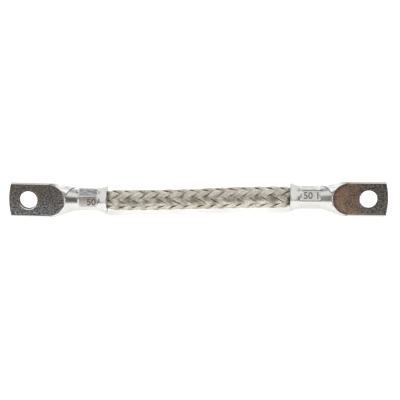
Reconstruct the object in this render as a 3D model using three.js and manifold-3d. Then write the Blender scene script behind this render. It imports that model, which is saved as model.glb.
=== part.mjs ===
// Flexible busbar braid: a tubular braid of tinned copper strands, crimped at both ends into
// tubular cable lugs with flattened palms. Millimetres, +Z up, the strap lies along X and
// rests on its long edge: each lug stands on its flared mouth and on the edge of its palm.
import * as THREE from 'three';
import { mergeVertices } from 'three/addons/utils/BufferGeometryUtils.js';
import Module from 'manifold-3d';

// Strap: distance between the two bolt holes along the lugs and the braid
const HOLE_SPACING = 200;

// Lug, measured along its own axis from the mouth of the barrel
const LUG_LENGTH = 57.4;
const HOLE_FROM_MOUTH = 46;
const HOLE_DIAMETER = 10.5;
const HOLE_CHAMFER = 0.12;
const BARREL_DIAMETER = 14;
const TUBE_WALL = 1.55;
const PALM_WIDTH = 20.6;
const EDGE_BULGE = 1.05;
const TIP_RADIUS = 40;
const PALM_BELOW_CROWN = 1;

// Flared mouth
const FLARE_DIAMETER = 17.2;
const FLARE_LENGTH = 3.2;
const LIP_THICKNESS = 0.9;

// Transition from the round barrel to the flat palm
const RAMP_START = 18.9;
const SHOULDER_FROM_MOUTH = 31;
const BACK_HEEL_FROM_MOUTH = 29.5;
const FACE_ARC_CENTRE = 34.2;
const TONGUE_HALF_ANGLE = 26;
const TONGUE_DROP = 0.65;
const TONGUE_STEP = 0.5;
const CAVITY_END = 28.5;
const CAVITY_END_GAP = 0.3;

// Hexagonal crimp
const CRIMP_LENGTH = 12;
const CRIMP_FLATS = 12.1;
const CRIMP_SHOULDER = 0.8;
const LEFT_CRIMP_START = 5;
const RIGHT_CRIMP_START = 5.8;
const LEFT_CRIMP_TURN = 5;
const RIGHT_CRIMP_TURN = 16;

// Braid: carriers laid each way round, every one over two and under two of the others
const CARRIERS_EACH_WAY = 8;
const LAY_LENGTH = 61;
const STRAND_COVER = 0.84;
const STRAND_THICKNESS = 0.75;
const STRAND_CLEARANCE = 0.2;
const BRAID_DIAMETER_LEFT = 12.5;
const BRAID_DIAMETER_RIGHT = 13.3;
const CRIMP_CLEARANCE = 0.3;
const BRAID_IN_LUG = 17.2;
const NECK_BEFORE_MOUTH = 5;
const BRAID_TURN = 41;

// Rest: the right lug lies as it falls, the left lug is twisted by the braid
const LEFT_TWIST = 4;
const LEFT_YAW = -1.7;
const RIGHT_YAW = -2;
const LEFT_SIDESTEP = -1.6;
const RIGHT_SIDESTEP = 1.1;

// Fineness of the facets
const LUG_COLUMNS = 36;
const CAVITY_COLUMNS = 24;
const HOLE_SIDES = 32;
const TIP_STEPS = 16;

// Sizes that follow from the ones above
const RAD = Math.PI / 180;
const FREE_BRAID = HOLE_SPACING - 2 * HOLE_FROM_MOUTH;
const BARREL_RADIUS = BARREL_DIAMETER / 2;
const BORE_RADIUS = BARREL_RADIUS - TUBE_WALL;
const FLARE_RADIUS = FLARE_DIAMETER / 2;
const PALM_THICKNESS = 2 * TUBE_WALL;
const EDGE_RADIUS = PALM_THICKNESS / 2;
const FACE_HALF_WIDTH = PALM_WIDTH / 2 - EDGE_BULGE;
const FACE_HEIGHT = BARREL_RADIUS - PALM_BELOW_CROWN;
const EDGE_HEIGHT = FACE_HEIGHT - EDGE_RADIUS;
const HALF_COLUMNS = LUG_COLUMNS / 2;
const FACE_COLUMNS = 7;
const EDGE_COLUMNS = HALF_COLUMNS - 2 * FACE_COLUMNS;
const CARRIER_ANGLE = Math.PI / CARRIERS_EACH_WAY;
const CROSSING_PITCH = LAY_LENGTH / (2 * CARRIERS_EACH_WAY);
const WAVE_HEIGHT = (STRAND_THICKNESS + STRAND_CLEARANCE) / 2;

const wasm = await Module();
wasm.setup();

const lerp = THREE.MathUtils.lerp;
const ease = THREE.MathUtils.smoothstep;

/** Closed blank of columns and rings whose every vertex is placed by place(ring, column). */
function loft(columns, rings, place, capCentre) {
  const blank = new THREE.CylinderGeometry(1, 1, rings, columns, rings);
  const position = blank.attributes.position;
  for (let v = 0; v < position.count; v += 1) {
    const x = position.getX(v);
    const z = position.getZ(v);
    const ring = Math.round(rings / 2 - position.getY(v));
    const turn = Math.atan2(x, z) / (2 * Math.PI);
    const column = Math.round((turn + 1) * columns) % columns;
    const point = Math.hypot(x, z) < 0.5 ? capCentre(ring) : place(ring, column);
    position.setXYZ(v, point.x, point.y, point.z);
  }
  return blank;
}

/** A mirrored geometry with its faces turned to point outwards again. */
function turnedOut(geometry) {
  const index = geometry.index;
  for (let corner = 0; corner < index.count; corner += 3) {
    const second = index.getX(corner + 1);
    index.setX(corner + 1, index.getX(corner + 2));
    index.setX(corner + 2, second);
  }
  return geometry;
}

/** Manifold solid of a closed three.js geometry. */
function solidOf(geometry) {
  const bare = geometry.clone();
  bare.deleteAttribute('normal');
  bare.deleteAttribute('uv');
  const merged = mergeVertices(bare, 1e-5);
  const vertProperties = new Float32Array(merged.attributes.position.array);
  const triVerts = new Uint32Array(merged.index.array);
  return new wasm.Manifold(new wasm.Mesh({ numProp: 3, vertProperties, triVerts }));
}

/** three.js geometry of a manifold solid. */
function geometryOf(solid) {
  const { vertProperties, triVerts } = solid.getMesh();
  const geometry = new THREE.BufferGeometry();
  geometry.setAttribute('position', new THREE.BufferAttribute(vertProperties, 3));
  geometry.setIndex(new THREE.BufferAttribute(triVerts, 1));
  geometry.computeVertexNormals();
  return geometry;
}

/** Point at distance x along the lug, at a radius and an angle from the crown of the barrel. */
function onCircle(x, radius, angle) {
  return new THREE.Vector3(x, radius * Math.sin(angle), radius * Math.cos(angle));
}

/** Radius of a hexagon's side, across-flats size given, at an angle from one flat's middle. */
function hexRadius(flats, angle) {
  const sector = Math.PI / 3;
  const fromFlat = angle - sector * Math.round(angle / sector);
  return flats / 2 / Math.cos(fromFlat);
}

/** Columns slide a little so that some of them run along the corners of the crimp. */
function crimpPoint(x, flats, turn, column, columns) {
  const step = 2 * Math.PI / columns;
  const corner = turn + Math.PI / 6;
  const slide = corner - step * Math.round(corner / step);
  const angle = column * step + slide;
  return onCircle(x, hexRadius(flats, angle - turn), angle);
}

/** Place of a column on the flattened section: contact face, folded edge, then back face. */
function palmSection(column) {
  const side = column <= HALF_COLUMNS ? 1 : -1;
  const k = column <= HALF_COLUMNS ? column : LUG_COLUMNS - column;
  if (k <= FACE_COLUMNS) {
    const sweep = (Math.PI / 2) * (k / FACE_COLUMNS);
    const x = FACE_ARC_CENTRE - FACE_HALF_WIDTH * Math.cos(sweep);
    return new THREE.Vector3(x, side * FACE_HALF_WIDTH * Math.sin(sweep), FACE_HEIGHT);
  }
  if (k < FACE_COLUMNS + EDGE_COLUMNS) {
    const fold = Math.PI * (k - FACE_COLUMNS) / EDGE_COLUMNS;
    const forward = Math.max(0, Math.cos(fold)) ** 2;
    const x = lerp(SHOULDER_FROM_MOUTH, FACE_ARC_CENTRE, forward);
    const p = FACE_HALF_WIDTH + EDGE_BULGE * Math.sin(fold);
    return new THREE.Vector3(x, side * p, EDGE_HEIGHT + EDGE_RADIUS * Math.cos(fold));
  }
  const sweep = (Math.PI / 2) * ((HALF_COLUMNS - k) / FACE_COLUMNS);
  const x = lerp(SHOULDER_FROM_MOUTH, BACK_HEEL_FROM_MOUTH, Math.cos(sweep));
  return new THREE.Vector3(x, side * FACE_HALF_WIDTH * Math.sin(sweep), FACE_HEIGHT - PALM_THICKNESS);
}

/** End of the round barrel: on the contact side a tongue runs on to the arc of the palm. */
function barrelEnd(column) {
  const angle = column * 2 * Math.PI / LUG_COLUMNS;
  const fromCrown = Math.acos(Math.cos(angle));
  const tongue = THREE.MathUtils.clamp(
    (Math.PI / 2 - fromCrown) / (Math.PI / 2 - TONGUE_HALF_ANGLE * RAD), 0, 1);
  const tongueTip = FACE_ARC_CENTRE - FACE_HALF_WIDTH - TONGUE_STEP;
  const point = onCircle(lerp(RAMP_START, tongueTip, tongue), BARREL_RADIUS, angle);
  point.z -= TONGUE_DROP * Math.max(0, Math.cos(angle)) ** 4;
  return point;
}

/** Outer skin of the lug, straight ended: the rings in order from the lip to past the tip. */
function outerRings(crimpStart, crimpTurn) {
  const crimpEnd = crimpStart + CRIMP_LENGTH;
  const flare = (x) => {
    const toBarrel = 1 - x / FLARE_LENGTH;
    return BARREL_RADIUS + (FLARE_RADIUS - BARREL_RADIUS) * toBarrel ** 2;
  };
  const round = (x, radius) => (column) => onCircle(x, radius, column * 2 * Math.PI / LUG_COLUMNS);
  const hex = (x) => (column) => crimpPoint(x, CRIMP_FLATS, crimpTurn, column, LUG_COLUMNS);
  const between = (part) => (column) => {
    const start = barrelEnd(column);
    const end = palmSection(column);
    const bend = ease(part, 0, 1);
    return new THREE.Vector3(
      lerp(start.x, end.x, part), lerp(start.y, end.y, bend), lerp(start.z, end.z, bend));
  };
  const palm = (x) => (column) => palmSection(column).setX(x);
  return [
    round(0, FLARE_RADIUS),
    round(LIP_THICKNESS * 0.5, FLARE_RADIUS),
    round(FLARE_LENGTH * 0.35, flare(FLARE_LENGTH * 0.35)),
    round(FLARE_LENGTH * 0.6, flare(FLARE_LENGTH * 0.6)),
    round(FLARE_LENGTH, BARREL_RADIUS),
    round(crimpStart, BARREL_RADIUS),
    hex(crimpStart + CRIMP_SHOULDER),
    hex(crimpEnd - CRIMP_SHOULDER),
    round(crimpEnd, BARREL_RADIUS),
    barrelEnd,
    between(1 / 3),
    between(2 / 3),
    palmSection,
    palm(FACE_ARC_CENTRE + EDGE_RADIUS),
    palm(LUG_LENGTH + EDGE_RADIUS),
  ];
}

/** Bore of the barrel, pinched by the crimp and closing to nothing where the palm begins. */
function boreRings(crimpStart, crimpTurn) {
  const crimpEnd = crimpStart + CRIMP_LENGTH;
  const lip = FLARE_RADIUS - LIP_THICKNESS;
  const round = (x, radius) => (column) => onCircle(x, radius, column * 2 * Math.PI / CAVITY_COLUMNS);
  const hex = (x) => (column) =>
    crimpPoint(x, CRIMP_FLATS - 2 * TUBE_WALL, crimpTurn, column, CAVITY_COLUMNS);
  const closed = (column) => {
    const end = onCircle(CAVITY_END, 1, column * 2 * Math.PI / CAVITY_COLUMNS);
    end.y *= FACE_HALF_WIDTH - EDGE_RADIUS;
    end.z = EDGE_HEIGHT + end.z * CAVITY_END_GAP / 2;
    return end;
  };
  return [
    round(-LIP_THICKNESS, lip),
    round(0, lip),
    round(FLARE_LENGTH * 0.35, lerp(BORE_RADIUS, lip, 0.45)),
    round(FLARE_LENGTH, BORE_RADIUS),
    round(crimpStart, BORE_RADIUS),
    hex(crimpStart + CRIMP_SHOULDER),
    hex(crimpEnd - CRIMP_SHOULDER),
    round(crimpEnd, BORE_RADIUS),
    closed,
  ];
}

/** Solid of a list of rings, its caps closed by a point in the middle of the end rings. */
function solidOfRings(columns, rings) {
  const last = rings.length - 1;
  const middle = (ring) => {
    const crown = rings[ring](0);
    const back = rings[ring](columns / 2);
    return crown.lerp(back, 0.5).setY(0);
  };
  return solidOf(loft(columns, last, (ring, column) => rings[ring](column), middle));
}

/** Block that keeps everything up to the rounded tip. */
function tipTrim() {
  const height = 4 * FLARE_RADIUS;
  const centre = LUG_LENGTH - TIP_RADIUS;
  const halfWidth = PALM_WIDTH;
  const halfSweep = Math.asin(halfWidth / TIP_RADIUS);
  const outline = new THREE.Shape();
  outline.moveTo(-LUG_LENGTH, -halfWidth);
  outline.lineTo(centre + TIP_RADIUS * Math.cos(halfSweep), -halfWidth);
  outline.absarc(centre, 0, TIP_RADIUS, -halfSweep, halfSweep, false);
  outline.lineTo(-LUG_LENGTH, halfWidth);
  const block = new THREE.ExtrudeGeometry(
    outline, { depth: height, bevelEnabled: false, curveSegments: TIP_STEPS });
  block.translate(0, 0, -height / 2);
  return solidOf(block);
}

/** Bolt hole through the palm, with a small chamfer at both faces. */
function boltHole() {
  const radius = HOLE_DIAMETER / 2;
  const half = EDGE_RADIUS;
  const wide = radius + 2 * HOLE_CHAMFER;
  const profile = [
    new THREE.Vector2(0, -half - HOLE_CHAMFER),
    new THREE.Vector2(wide, -half - HOLE_CHAMFER),
    new THREE.Vector2(radius, -half + HOLE_CHAMFER),
    new THREE.Vector2(radius, half - HOLE_CHAMFER),
    new THREE.Vector2(wide, half + HOLE_CHAMFER),
    new THREE.Vector2(0, half + HOLE_CHAMFER),
  ];
  const cutter = new THREE.LatheGeometry(profile, HOLE_SIDES);
  cutter.rotateX(Math.PI / 2);
  cutter.translate(HOLE_FROM_MOUTH, 0, EDGE_HEIGHT);
  return solidOf(cutter);
}

/** Geometry of one lug: its axis along +X, mouth at the origin, contact face towards +Z. */
function lugGeometry(crimpStart, crimpTurn) {
  const skin = solidOfRings(LUG_COLUMNS, outerRings(crimpStart, crimpTurn * RAD));
  const bore = solidOfRings(CAVITY_COLUMNS, boreRings(crimpStart, crimpTurn * RAD));
  const lug = skin.intersect(tipTrim()).subtract(bore).subtract(boltHole());
  return geometryOf(lug);
}

/** Depth of the palm's lower edge below the barrel axis when the lug is rolled back. */
function edgeDepth(roll) {
  const flat = FACE_HALF_WIDTH * Math.cos(roll) - EDGE_HEIGHT * Math.sin(roll);
  return flat + Math.hypot(EDGE_BULGE * Math.cos(roll), EDGE_RADIUS * Math.sin(roll));
}

/** Roll at which the flared mouth and the palm's edge stand on the same floor, by halving. */
function restRoll() {
  let low = 0;
  let high = Math.PI / 3;
  while (high - low > 1e-6) {
    const middle = (low + high) / 2;
    if (edgeDepth(middle) > FLARE_RADIUS) {
      low = middle;
    } else {
      high = middle;
    }
  }
  return low;
}

/** Pose of a lug: side is -1 for the left lug and 1 for the right one. */
function lugPose(side, roll, yaw, sidestep) {
  const pitch = Math.atan((edgeDepth(roll) - FLARE_RADIUS) / SHOULDER_FROM_MOUTH);
  const tilt = new THREE.Euler(Math.PI / 2 - roll, -side * pitch, yaw, 'ZYX');
  const turned = new THREE.Quaternion().setFromEuler(tilt);
  const mouth = new THREE.Vector3(
    side * FREE_BRAID / 2, sidestep, FLARE_RADIUS * Math.cos(pitch));
  const outward = new THREE.Vector3(side, 0, 0).applyQuaternion(turned);
  return { side, turned, mouth, outward };
}

/** Group that carries a lug's mesh at its pose. */
function placedLug(name, pose, geometry, material) {
  const mesh = new THREE.Mesh(geometry, material);
  mesh.name = name;
  mesh.rotation.z = pose.side < 0 ? Math.PI : 0;
  const group = new THREE.Group();
  group.position.copy(pose.mouth);
  group.quaternion.copy(pose.turned);
  group.add(mesh);
  return group;
}

/** Centreline of the braid: straight inside each lug, one easy curve between the mouths. */
function centreline(left, right) {
  const handle = FREE_BRAID / 3;
  const span = new THREE.CubicBezierCurve3(
    left.mouth,
    left.mouth.clone().addScaledVector(left.outward, -handle),
    right.mouth.clone().addScaledVector(right.outward, -handle),
    right.mouth);
  return (x) => {
    const along = x + FREE_BRAID / 2;
    if (along < 0) {
      return { point: left.mouth.clone().addScaledVector(left.outward, -along), ahead: left.outward.clone().negate() };
    }
    if (along > FREE_BRAID) {
      const past = along - FREE_BRAID;
      return { point: right.mouth.clone().addScaledVector(right.outward, past), ahead: right.outward.clone() };
    }
    const part = along / FREE_BRAID;
    return { point: span.getPoint(part), ahead: span.getTangent(part) };
  };
}

/** Outer radius of the braid at x, squeezed where it goes into a lug. */
function braidRadius(x) {
  const depth = Math.abs(x) - FREE_BRAID / 2;
  const crimpStart = x < 0 ? LEFT_CRIMP_START : RIGHT_CRIMP_START;
  const inCrimp = CRIMP_FLATS / 2 - TUBE_WALL - CRIMP_CLEARANCE;
  const swell = ease(x, -FREE_BRAID / 6, FREE_BRAID / 3);
  const free = lerp(BRAID_DIAMETER_LEFT, BRAID_DIAMETER_RIGHT, swell) / 2;
  return lerp(free, inCrimp, ease(depth, -NECK_BEFORE_MOUTH, crimpStart + CRIMP_SHOULDER));
}

/** Height of a strand in its wave at t crossings: over for 0 and 1, under for 2 and 3. */
function wave(t) {
  const half = 0.25;
  const fromOver = Math.abs(((t - 0.5 + 2) % 4 + 4) % 4 - 2);
  return THREE.MathUtils.clamp((1 - fromOver) / half, -1, 1);
}

/** Crossing positions of the rings along one strand, denser where it dives under another. */
function strandRings(hand, carrier) {
  const reach = (FREE_BRAID / 2 + BRAID_IN_LUG) / CROSSING_PITCH;
  const end = Math.round(reach - 0.5) + 0.5;
  const beats = [-0.25, 0.5, 1.25, 1.75, 2.5, 3.25];
  const floats = [];
  for (let start = 4 * Math.floor(-end / 4) - 4; start < end + 4; start += 4) {
    const turns = beats.map((beat) => hand * (start + beat - (2 * carrier) % 4));
    floats.push(...turns.filter((t) => Math.abs(t) < end - 0.3));
  }
  floats.sort((a, b) => a - b);
  return { floats, end };
}

/** Outline of a strand's flat section: across in carrier widths, up in thicknesses. */
const STRAND_SECTION = [
  [-0.5, 0], [-0.25, 0.5], [0.25, 0.5], [0.5, 0], [0.25, -0.5], [-0.25, -0.5],
];

/** One strand; hand is 1 for the right-hand lay and -1 for the left-hand lay. */
function strandGeometry(hand, carrier, centre) {
  const { floats, end } = strandRings(hand, carrier);
  const last = floats.length + 1;
  const place = (ring, across, up) => {
    const float = floats[THREE.MathUtils.clamp(ring - 1, 0, floats.length - 1)];
    const inEnd = ring === 0 || ring === last;
    const t = inEnd ? Math.sign(float) * end : float;
    const x = (t - hand * across) * CROSSING_PITCH;
    const angle = (2 * carrier + across + hand * t) * CARRIER_ANGLE + BRAID_TURN * RAD;
    const middle = braidRadius(x) - WAVE_HEIGHT - STRAND_THICKNESS / 2;
    const radius = middle + hand * WAVE_HEIGHT * wave(2 * carrier + hand * float) + up * STRAND_THICKNESS;
    const { point, ahead } = centre(x);
    const sideways = new THREE.Vector3(0, 0, 1).cross(ahead).normalize();
    const upward = ahead.clone().cross(sideways);
    return point
      .addScaledVector(upward, radius * Math.cos(angle))
      .addScaledVector(sideways, radius * Math.sin(angle));
  };
  const onRing = (ring, column) => {
    const [across, up] = STRAND_SECTION[column];
    return place(ring, hand * across * STRAND_COVER, up);
  };
  const strand = loft(STRAND_SECTION.length, last, onRing, (ring) => place(ring, 0, 0));
  return hand < 0 ? turnedOut(strand) : strand;
}

/** Tinned copper, each piece with a material of its own. */
function tinned(colour, roughness) {
  return new THREE.MeshStandardMaterial({ color: colour, roughness, metalness: 0.9 });
}

/** The whole strap, its origin in the middle of the floor under it. */
function busbarBraid() {
  const strap = new THREE.Group();
  const rightRoll = restRoll();
  const left = lugPose(-1, rightRoll - LEFT_TWIST * RAD, LEFT_YAW * RAD, LEFT_SIDESTEP);
  const right = lugPose(1, rightRoll, RIGHT_YAW * RAD, RIGHT_SIDESTEP);
  const leftShape = lugGeometry(LEFT_CRIMP_START, LEFT_CRIMP_TURN);
  const rightShape = lugGeometry(RIGHT_CRIMP_START, RIGHT_CRIMP_TURN);
  strap.add(placedLug('left_lug', left, leftShape, tinned(0x8f8c86, 0.32)));
  strap.add(placedLug('right_lug', right, rightShape, tinned(0x968a7e, 0.32)));
  const centre = centreline(left, right);
  for (const [lay, hand] of [['right_lay', 1], ['left_lay', -1]]) {
    for (let carrier = 0; carrier < CARRIERS_EACH_WAY; carrier += 1) {
      const strand = new THREE.Mesh(strandGeometry(hand, carrier, centre), tinned(0xc4bba8, 0.4));
      strand.name = `${lay}_strand_${carrier + 1}`;
      strap.add(strand);
    }
  }
  const box = new THREE.Box3().setFromObject(strap, true);
  const middle = box.getCenter(new THREE.Vector3());
  strap.position.set(-middle.x, -middle.y, -box.min.z);
  strap.updateMatrixWorld(true);
  return strap;
}

const group = busbarBraid();

export default group;
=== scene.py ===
"""Looks of a flexible busbar braid: two tinned cable lugs crimped on a woven copper braid.

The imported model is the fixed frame. Each lug is rebuilt as one fine skin with its flared mouth,
hexagonal crimp and flattened palm, and each carrier of the braid as a ribbon of fine wires.
Sizes are in millimetres in the lug's and the braid's own coordinates, and in metres in Blender.
"""

import logging
import math
import random
from dataclasses import dataclass, field
from enum import Enum
from functools import partial
from typing import Callable

import bmesh
import bpy
from mathutils import Euler, Matrix, Vector, noise


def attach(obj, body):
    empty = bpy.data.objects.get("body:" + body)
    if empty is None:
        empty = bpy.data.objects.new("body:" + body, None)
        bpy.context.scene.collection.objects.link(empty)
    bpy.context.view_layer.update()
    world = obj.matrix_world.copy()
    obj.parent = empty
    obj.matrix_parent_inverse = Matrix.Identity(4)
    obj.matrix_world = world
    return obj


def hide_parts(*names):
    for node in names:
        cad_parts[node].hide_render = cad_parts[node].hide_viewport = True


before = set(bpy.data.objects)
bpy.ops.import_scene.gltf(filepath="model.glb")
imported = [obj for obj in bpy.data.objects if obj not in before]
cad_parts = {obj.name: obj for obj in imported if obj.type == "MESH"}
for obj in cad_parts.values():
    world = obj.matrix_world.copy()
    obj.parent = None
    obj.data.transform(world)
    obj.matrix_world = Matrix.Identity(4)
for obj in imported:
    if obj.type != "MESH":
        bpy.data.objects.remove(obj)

LOG = logging.getLogger("busbar_braid")
MM = 0.001
SEED = 17
NOTE = "own_place"
SHIFT_TO_FRAME = Vector((0.129, 0.248, -0.01)) * MM
MERGE = 1e-5
ALL_SMOOTH = 180.0
PLAIN_SHEET = 30.0

Colour = tuple[float, float, float]
Triple = tuple[float, float, float]
Span = tuple[float, float]
Place = Callable[[float], Vector]
Spot = Callable[[int, int], Vector]


class Side(Enum):
    """Which end of the strap a lug closes."""

    LEFT = -1
    RIGHT = 1


class Lay(Enum):
    """The way round in which a carrier of the braid is laid."""

    RIGHT_LAY = 1
    LEFT_LAY = -1


def lerp(a: float, b: float, part: float) -> float:
    """Value between a and b."""
    return a + (b - a) * part


def ease(value: float, low: float, high: float) -> float:
    """Smooth step from 0 at low to 1 at high."""
    part = min(1.0, max(0.0, (value - low) / (high - low)))
    return part * part * (3 - 2 * part)


def dimmed(colour: Colour, amount: float) -> Colour:
    """A colour multiplied by an amount."""
    return tuple(part * amount for part in colour)


def mapped_tube(rings: int, columns: int, place: Spot, note: Spot | None = None) -> bmesh.types.BMesh:
    """Tube made from a grid whose vertices are laid on rings, closed along its seam.

    Args:
        rings: Number of ring places along the tube, the last one included.
        columns: Number of columns round the tube.
        place: Gives the point of a ring and a column.
        note: Gives three values kept there as the attribute NOTE, for the finish.

    Returns:
        The tube, its seam and any pinched rings merged.
    """
    mesh = bmesh.new()
    bmesh.ops.create_grid(mesh, x_segments=rings - 1, y_segments=columns, size=1)
    notes = mesh.verts.layers.float_vector.new(NOTE) if note else None
    for vertex in mesh.verts:
        ring = round((vertex.co.x + 1) / 2 * (rings - 1))
        column = round((vertex.co.y + 1) / 2 * columns) % columns
        vertex.co = place(ring, column)
        if note:
            vertex[notes] = note(ring, column)
    bmesh.ops.remove_doubles(mesh, verts=mesh.verts[:], dist=MERGE)
    return mesh


def close_ends(mesh: bmesh.types.BMesh) -> None:
    """Fills every open rim of a tube and turns the faces outwards.

    Args:
        mesh: The tube.
    """
    rims = [edge for edge in mesh.edges if edge.is_boundary]
    if rims:
        bmesh.ops.holes_fill(mesh, edges=rims, sides=0)
    bmesh.ops.recalc_face_normals(mesh, faces=mesh.faces[:])


def mesh_object(name: str, mesh: bmesh.types.BMesh, sharp_angle: float) -> bpy.types.Object:
    """Object of a finished bmesh, smooth except along edges sharper than an angle.

    Args:
        name: Name of the object and its mesh.
        mesh: The bmesh, which is freed.
        sharp_angle: Angle in degrees past which an edge stays sharp.

    Returns:
        The object, linked to the scene.
    """
    data = bpy.data.meshes.new(name)
    mesh.to_mesh(data)
    mesh.free()
    data.shade_smooth()
    data.set_sharp_from_angle(angle=math.radians(sharp_angle))
    made = bpy.data.objects.new(name, data)
    bpy.context.scene.collection.objects.link(made)
    return made


def math_method(operation: str, swapped: bool = False) -> Callable[..., "Field"]:
    """Method of a Field that adds one Math node.

    Args:
        operation: The node's operation.
        swapped: Whether the other value comes first.

    Returns:
        The method.
    """

    def method(this: "Field", *others: "Field | float") -> "Field":
        """Result of the operation on this value and the others."""
        values = (*others, this) if swapped else (this, *others)
        return this.graph.node("ShaderNodeMath", {"operation": operation}, dict(enumerate(values)))

    return method


class Field:
    """A shader socket that Python expressions can combine."""

    __add__ = __radd__ = math_method("ADD")
    __sub__ = math_method("SUBTRACT")
    __rsub__ = math_method("SUBTRACT", swapped=True)
    __mul__ = __rmul__ = math_method("MULTIPLY")
    __truediv__ = math_method("DIVIDE")
    __pow__ = math_method("POWER")
    __abs__ = math_method("ABSOLUTE")
    least = math_method("MINIMUM")
    most = math_method("MAXIMUM")
    angle_to = math_method("ARCTAN2")

    def __init__(self, graph: "Graph", socket: bpy.types.NodeSocket) -> None:
        """Keeps the socket and its graph."""
        self.graph = graph
        self.socket = socket

    def step(self, low: float, high: float) -> "Field":
        """Smooth step from 0 at low to 1 at high.

        Args:
            low: Value that gives 0.
            high: Value that gives 1.

        Returns:
            The step.
        """
        settings = {"interpolation_type": "SMOOTHSTEP"}
        values = {"Value": self, "From Min": low, "From Max": high}
        return self.graph.node("ShaderNodeMapRange", settings, values)


class Graph:
    """Node graph of one material or of the world."""

    def __init__(self, owner: bpy.types.Material | bpy.types.World) -> None:
        """Empties the owner's node tree and starts on it.

        Args:
            owner: The material or world.
        """
        owner.use_nodes = True
        self.owner = owner
        self.tree = owner.node_tree
        self.tree.nodes.clear()

    def node(self, kind: str, settings: dict, inputs: dict, output: int | str = 0) -> Field:
        """Adds a node.

        Args:
            kind: Blender's type name of the node.
            settings: Properties, set before the sockets.
            inputs: Socket name or index to a value or a Field.
            output: Name or index of the output wanted.

        Returns:
            The wanted output as a Field.
        """
        made = self.tree.nodes.new(kind)
        for name, value in settings.items():
            setattr(made, name, value)
        for name, value in inputs.items():
            if isinstance(value, Field):
                self.tree.links.new(value.socket, made.inputs[name])
            else:
                made.inputs[name].default_value = value
        return Field(self, made.outputs[output])

    @staticmethod
    def rgba(colour: Field | Colour) -> Field | tuple[float, ...]:
        """A plain colour with its alpha; a Field stays as it is."""
        return colour if isinstance(colour, Field) else (*colour, 1.0)

    def blend(self, factor: Field | float, first: Field | Colour, second: Field | Colour) -> Field:
        """Mix of two colours, the second one where the factor is 1."""
        values = {0: factor, 6: self.rgba(first), 7: self.rgba(second)}
        return self.node("ShaderNodeMix", {"data_type": "RGBA"}, values, 2)

    def object_place(self) -> Field:
        """Object coordinates."""
        return self.node("ShaderNodeTexCoord", {}, {}, "Object")

    def attribute(self, name: str, output: str) -> Field:
        """An attribute of the piece's own mesh."""
        settings = {"attribute_type": "GEOMETRY", "attribute_name": name}
        return self.node("ShaderNodeAttribute", settings, {}, output)

    def axis(self, vector: Field, index: int) -> Field:
        """One component of a vector."""
        return self.node("ShaderNodeSeparateXYZ", {}, {0: vector}, index)

    def grain(self, place: Field, scale: float, detail: float, roughness: float = 0.55) -> Field:
        """Noise between 0 and 1."""
        values = {"Vector": place, "Scale": scale, "Detail": detail, "Roughness": roughness}
        return self.node("ShaderNodeTexNoise", {}, values, "Fac")

    def stretch(self, place: Field, amounts: Triple) -> Field:
        """A place multiplied by an amount for each axis."""
        return self.node("ShaderNodeVectorMath", {"operation": "MULTIPLY"}, {0: place, 1: amounts})

    def bump(self, height: Field, distance: float, strength: float) -> Field:
        """Normal pushed by a height field."""
        values = {"Height": height, "Distance": distance, "Strength": strength}
        return self.node("ShaderNodeBump", {}, values)

    def surface(self, **inputs: object) -> None:
        """Principled shader joined to the output.

        Args:
            inputs: Sockets, with _ for the spaces in their names.
        """
        values = {name.replace("_", " "): value for name, value in inputs.items()}
        shader = self.node("ShaderNodeBsdfPrincipled", {}, values)
        self._out("ShaderNodeOutputMaterial", shader)

    def seen(self) -> Field:
        """Tells the rays that show a surface from those that only light one.

        Returns:
            1 where a ray comes from the camera, a mirror or glass, and else 0.
        """
        kinds = ("Is Camera Ray", "Is Glossy Ray", "Is Transmission Ray")
        rays = [self.node("ShaderNodeLightPath", {}, {}, name) for name in kinds]
        return rays[0].most(rays[1]).most(rays[2])

    def sky(self, seen: Colour, lighting: Colour) -> None:
        """Background joined to the world's output: one colour to see and one to light with."""
        colour = self.blend(self.seen(), lighting, seen)
        self._out("ShaderNodeOutputWorld", self.node("ShaderNodeBackground", {}, {"Color": colour}))

    def _out(self, kind: str, shader: Field) -> None:
        """Joins a shader to an output node."""
        output = self.tree.nodes.new(kind)
        self.tree.links.new(shader.socket, output.inputs["Surface"])


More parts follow.
